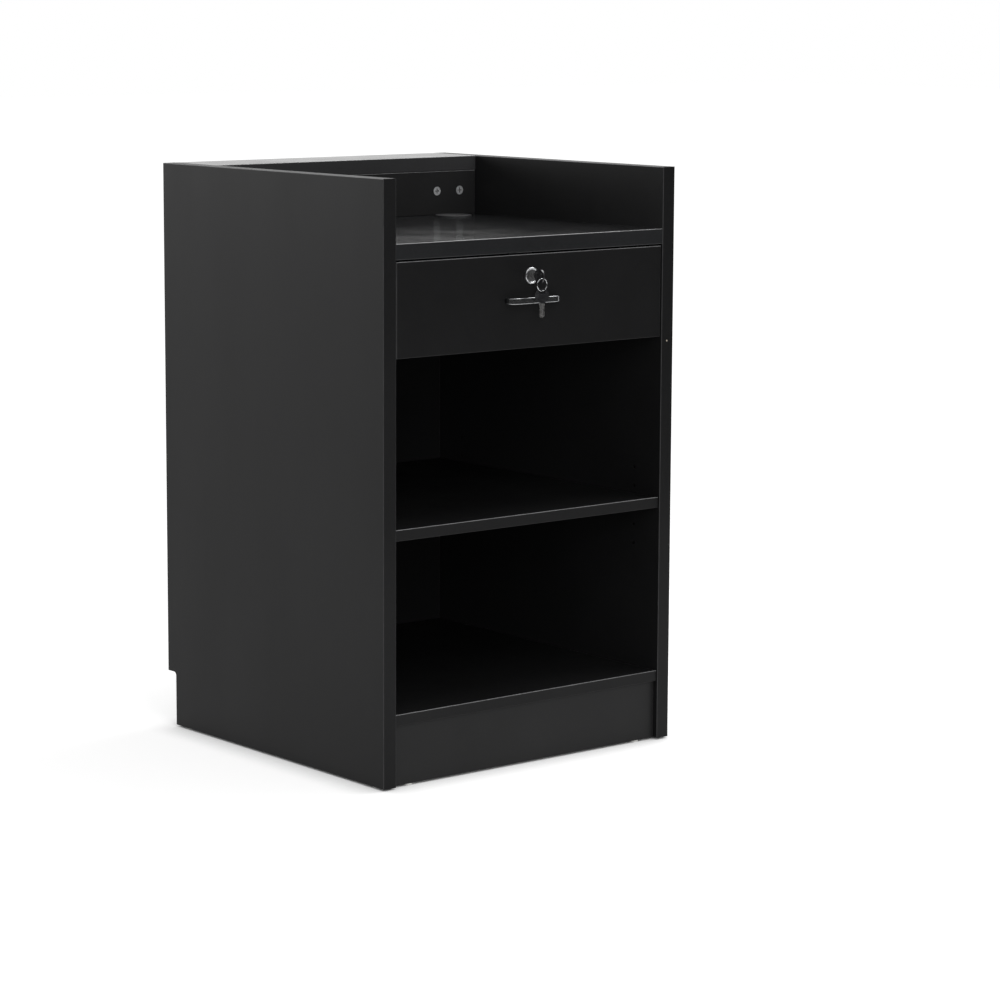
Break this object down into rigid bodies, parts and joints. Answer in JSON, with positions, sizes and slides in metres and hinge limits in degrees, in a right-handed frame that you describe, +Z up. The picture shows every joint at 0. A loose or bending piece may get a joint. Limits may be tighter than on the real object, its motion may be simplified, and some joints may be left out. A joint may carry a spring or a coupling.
{
  "type": "shop counter with drawer",
  "caption": "Staff-side shop counter: laminated side panels, sunken top under a raised ledge, locking drawer with keys, open shelves and a plinth.",
  "frame": {"origin": "on the floor under the middle of the whole bounding box, keys included", "axes": "+Z up, +X to the right of the staff, +Y from the open staff side to the closed customer side"},
  "size_m": [0.6, 0.6334, 0.953],
  "materials": {
    "laminate": "black melamine-faced board, satin, with banded edges",
    "counter_laminate": "black melamine-faced board, glossier and faintly blue",
    "plinth_laminate": "dark grey melamine-faced board, satin",
    "steel": "zinc-plated, slightly brushed",
    "zinc": "die-cast, matt",
    "beech": "bare beech",
    "pale_plastic": "moulded, matt",
    "black_plastic": "moulded, fine grain",
    "cage_plastic": "moulded, smooth",
    "ball_steel": "polished",
    "chrome": "nickel-plated, satin",
    "key_metal": "nickel-plated brass",
    "key_plastic": "moulded, semi-gloss"
  },
  "bodies": {
    "cabinet": {"side_panel_left": "laminate", "side_panel_right": "laminate", "counter_top": "counter_laminate", "ledge": "laminate", "riser": "laminate", "customer_panel": "laminate", "kick_board": "laminate", "plinth": "plinth_laminate", "bottom_shelf": "laminate", "middle_shelf": "laminate", "shelf_pins": "steel", "cams": "zinc", "cam_bolts": "steel", "dowels": "beech", "glides": "pale_plastic", "glide_nails": "steel", "grommet_sleeve": "black_plastic", "lock_strike": "steel", "strike_screws": "steel", "runner_outer_left": "steel", "runner_outer_right": "steel", "runner_screws_cabinet": "steel"},
    "drawer": {"drawer_front": "laminate", "drawer_side_left": "laminate", "drawer_side_right": "laminate", "drawer_back": "laminate", "drawer_bottom": "laminate", "drawer_cams": "zinc", "drawer_cam_bolts": "steel", "drawer_back_screws": "steel", "handle": "chrome", "handle_screws": "steel", "lock_housing": "chrome", "lock_nut": "zinc", "runner_inner_left": "steel", "runner_inner_right": "steel", "runner_screws_drawer": "steel"},
    "cage_left": {"runner_cage_left": "cage_plastic", "runner_balls_left": "ball_steel"},
    "cage_right": {"runner_cage_right": "cage_plastic", "runner_balls_right": "ball_steel"},
    "plug": {"lock_plug": "zinc", "lock_tongue": "steel", "tongue_screw": "steel"},
    "key": {"key_blade": "key_metal", "key_bow": "key_plastic"},
    "ring": {"key_ring": "chrome"},
    "spare_key": {"spare_key_blade": "key_metal", "spare_key_bow": "key_plastic"},
    "cap": {"grommet_cap": "black_plastic"}
  },
  "joints": [
    {"name": "drawer_slide", "type": "slide", "parent": "cabinet", "child": "drawer", "axis": [0, -1, 0], "range_m": [0, 0.33]},
    {"name": "cage_left_slide", "type": "slide", "parent": "cabinet", "child": "cage_left", "axis": [0, -1, 0], "range_m": [0, 0.165]},
    {"name": "cage_right_slide", "type": "slide", "parent": "cabinet", "child": "cage_right", "axis": [0, -1, 0], "range_m": [0, 0.165]},
    {"name": "lock_turn", "type": "hinge", "parent": "drawer", "child": "plug", "pos_m": [-0.004, -0.28129, 0.791], "axis": [0, -1, 0], "range_deg": [0, 90]},
    {"name": "key_pull", "type": "slide", "parent": "plug", "child": "key", "axis": [0, -1, 0], "range_m": [0, 0.02]},
    {"name": "ring_swing", "type": "hinge", "parent": "key", "child": "ring", "pos_m": [-0.004, -0.30829, 0.78778], "axis": [-1, 0, 0], "range_deg": [0, 80]},
    {"name": "spare_key_swing", "type": "hinge", "parent": "ring", "child": "spare_key", "pos_m": [-0.004, -0.30829, 0.76798], "axis": [-1, 0, 0], "range_deg": [0, 60]},
    {"name": "cap_turn", "type": "hinge", "parent": "cabinet", "child": "cap", "pos_m": [0.195, 0.16171, 0.853], "axis": [0, 0, 1], "continuous": true}
  ],
  "couplings": [
    {"joint": "cage_left_slide", "follows": "drawer_slide", "ratio": 0.5},
    {"joint": "cage_right_slide", "follows": "drawer_slide", "ratio": 0.5}
  ]
}
